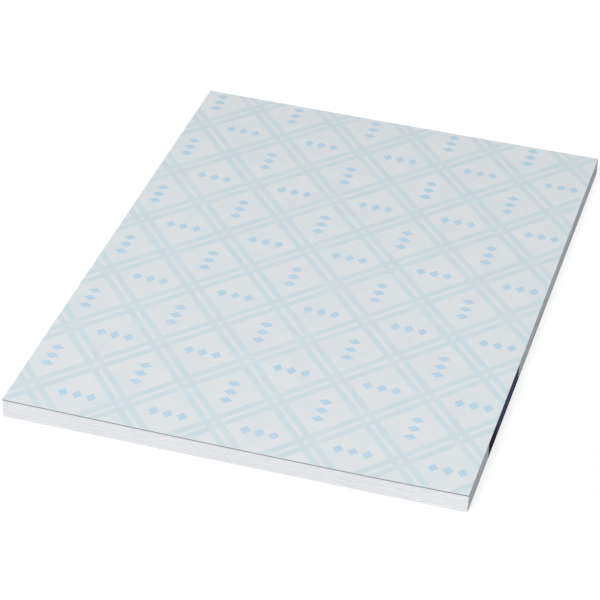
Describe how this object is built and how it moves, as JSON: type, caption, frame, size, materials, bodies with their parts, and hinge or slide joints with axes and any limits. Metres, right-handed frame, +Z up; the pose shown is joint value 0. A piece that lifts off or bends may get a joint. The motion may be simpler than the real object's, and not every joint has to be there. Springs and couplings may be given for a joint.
{
  "type": "desk notepad",
  "caption": "Rectangular glued notepad that lies flat, with loose-footed sheets, a thin printed card on top and a glue film along its head.",
  "frame": {"origin": "under the middle of the pad, on the surface that it rests on", "axes": "+Z up, out of the printed card; +Y along the pad towards its glued head; +X across it to the edge with the dark print"},
  "size_m": [0.148, 0.2102, 0.0065],
  "materials": {
    "sheet_paper": "matte",
    "board": "matte",
    "facing": "matte",
    "glue": "satin",
    "pale_blue_ink": "matte",
    "sky_blue_ink": "matte",
    "navy_ink": "matte"
  },
  "bodies": {
    "root": {"sheets": "sheet_paper", "grey_board": "board", "facing_paper": "facing", "head_glue": "glue", "trellis_print": "pale_blue_ink", "lozenge_print": "sky_blue_ink", "edge_print": "navy_ink"}
  },
  "joints": []
}
